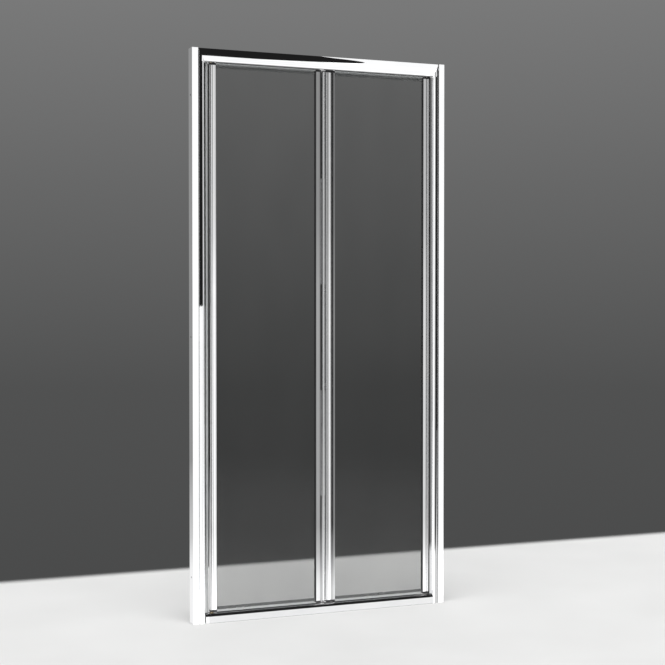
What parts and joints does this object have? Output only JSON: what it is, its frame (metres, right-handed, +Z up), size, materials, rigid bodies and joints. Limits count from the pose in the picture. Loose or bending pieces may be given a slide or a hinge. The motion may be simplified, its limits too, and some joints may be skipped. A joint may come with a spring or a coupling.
{
  "type": "bifold shower door",
  "caption": "Bifold shower door for an alcove: a bright frame, glass leaves on a full-height hinge, and a carriage and a shoe that run in the rails.",
  "frame": {"origin": "middle of the frame's footprint, on the underside of the sill and the jambs", "axes": "+X to the right seen from the room, -Y towards the room, +Y into the shower, +Z up"},
  "size_m": [0.9, 0.044, 1.85],
  "materials": {
    "bright_profile": "drawn profile, polished and bright, like chrome plate",
    "chromed_corner": "plated casting, polished",
    "steel": "stainless steel, turned",
    "clear_glass": "clear toughened glass with polished edges",
    "gasket": "soft extruded gasket, satin",
    "clear_seal": "clear flexible plastic strip",
    "magnetic_strip": "magnetic strip in a dark sleeve",
    "dark_polymer": "moulded nylon, fine matt grain",
    "buffer": "solid rubber, matt",
    "white_nylon": "white acetal, satin",
    "bush_brass": "turned brass"
  },
  "bodies": {
    "frame": {"wall_channel_left": "bright_profile", "wall_channel_right": "bright_profile", "jamb_left": "bright_profile", "jamb_right": "bright_profile", "jamb_screws": "steel", "top_rail": "bright_profile", "bottom_rail": "bright_profile", "corner_top_left": "chromed_corner", "corner_top_right": "chromed_corner", "corner_bottom_left": "chromed_corner", "corner_bottom_right": "chromed_corner", "corner_screws": "steel", "pivot_seal": "clear_seal", "jamb_magnet": "magnetic_strip", "pivot_block_top": "dark_polymer", "pivot_block_bottom": "dark_polymer", "bush_top": "bush_brass", "bush_bottom": "bush_brass", "block_screws": "steel", "track_buffer": "buffer"},
    "pivot_leaf": {"pivot_stile": "bright_profile", "hinge_stile_a": "bright_profile", "glass_a": "clear_glass", "gasket_a_outer": "gasket", "gasket_a_inner": "gasket", "bottom_seal_a": "clear_seal", "top_seal_a": "clear_seal", "cap_pivot_top": "dark_polymer", "cap_pivot_bottom": "dark_polymer", "caps_hinge_a": "dark_polymer", "pivot_pin_top": "steel", "pivot_pin_bottom": "steel", "hinge_strip_a": "bright_profile", "hinge_rod": "steel", "rod_caps": "dark_polymer", "strip_screws_a": "steel", "hinge_seal": "gasket"},
    "sliding_leaf": {"closing_stile": "bright_profile", "hinge_stile_b": "bright_profile", "glass_b": "clear_glass", "gasket_b_outer": "gasket", "gasket_b_inner": "gasket", "bottom_seal_b": "clear_seal", "top_seal_b": "clear_seal", "cap_closing_top": "dark_polymer", "cap_closing_bottom": "dark_polymer", "caps_hinge_b": "dark_polymer", "carriage_pin": "steel", "guide_pin": "steel", "hinge_strip_b": "bright_profile", "strip_screws_b": "steel", "leaf_magnet": "magnetic_strip"},
    "carriage": {"carriage": "dark_polymer"},
    "front_wheels": {"axle_front": "steel", "wheels_front": "white_nylon"},
    "rear_wheels": {"axle_rear": "steel", "wheels_rear": "white_nylon"},
    "shoe": {"guide_shoe": "white_nylon"}
  },
  "joints": [
    {"name": "leaf_pivot", "type": "hinge", "parent": "frame", "child": "pivot_leaf", "pos_m": [-0.3825, 0, 0.9], "axis": [0, 0, 1], "range_deg": [0, 84]},
    {"name": "leaf_fold", "type": "hinge", "parent": "pivot_leaf", "child": "sliding_leaf", "pos_m": [0.00425, -0.01, 0.9], "axis": [0, 0, 1], "range_deg": [-168, 0]},
    {"name": "carriage_swivel", "type": "hinge", "parent": "sliding_leaf", "child": "carriage", "pos_m": [0.391, 0, 1.82], "axis": [0, 0, 1], "range_deg": [0, 84]},
    {"name": "shoe_swivel", "type": "hinge", "parent": "sliding_leaf", "child": "shoe", "pos_m": [0.391, 0, 0.02], "axis": [0, 0, 1], "range_deg": [0, 84]},
    {"name": "front_wheels_roll", "type": "hinge", "parent": "carriage", "child": "front_wheels", "pos_m": [0.38, 0, 1.8172], "axis": [0, 1, 0], "continuous": true},
    {"name": "rear_wheels_roll", "type": "hinge", "parent": "carriage", "child": "rear_wheels", "pos_m": [0.402, 0, 1.8172], "axis": [0, 1, 0], "continuous": true}
  ],
  "couplings": [
    {"joint": "leaf_fold", "follows": "leaf_pivot", "ratio": -2},
    {"joint": "carriage_swivel", "follows": "leaf_pivot", "ratio": 1},
    {"joint": "shoe_swivel", "follows": "leaf_pivot", "ratio": 1}
  ]
}
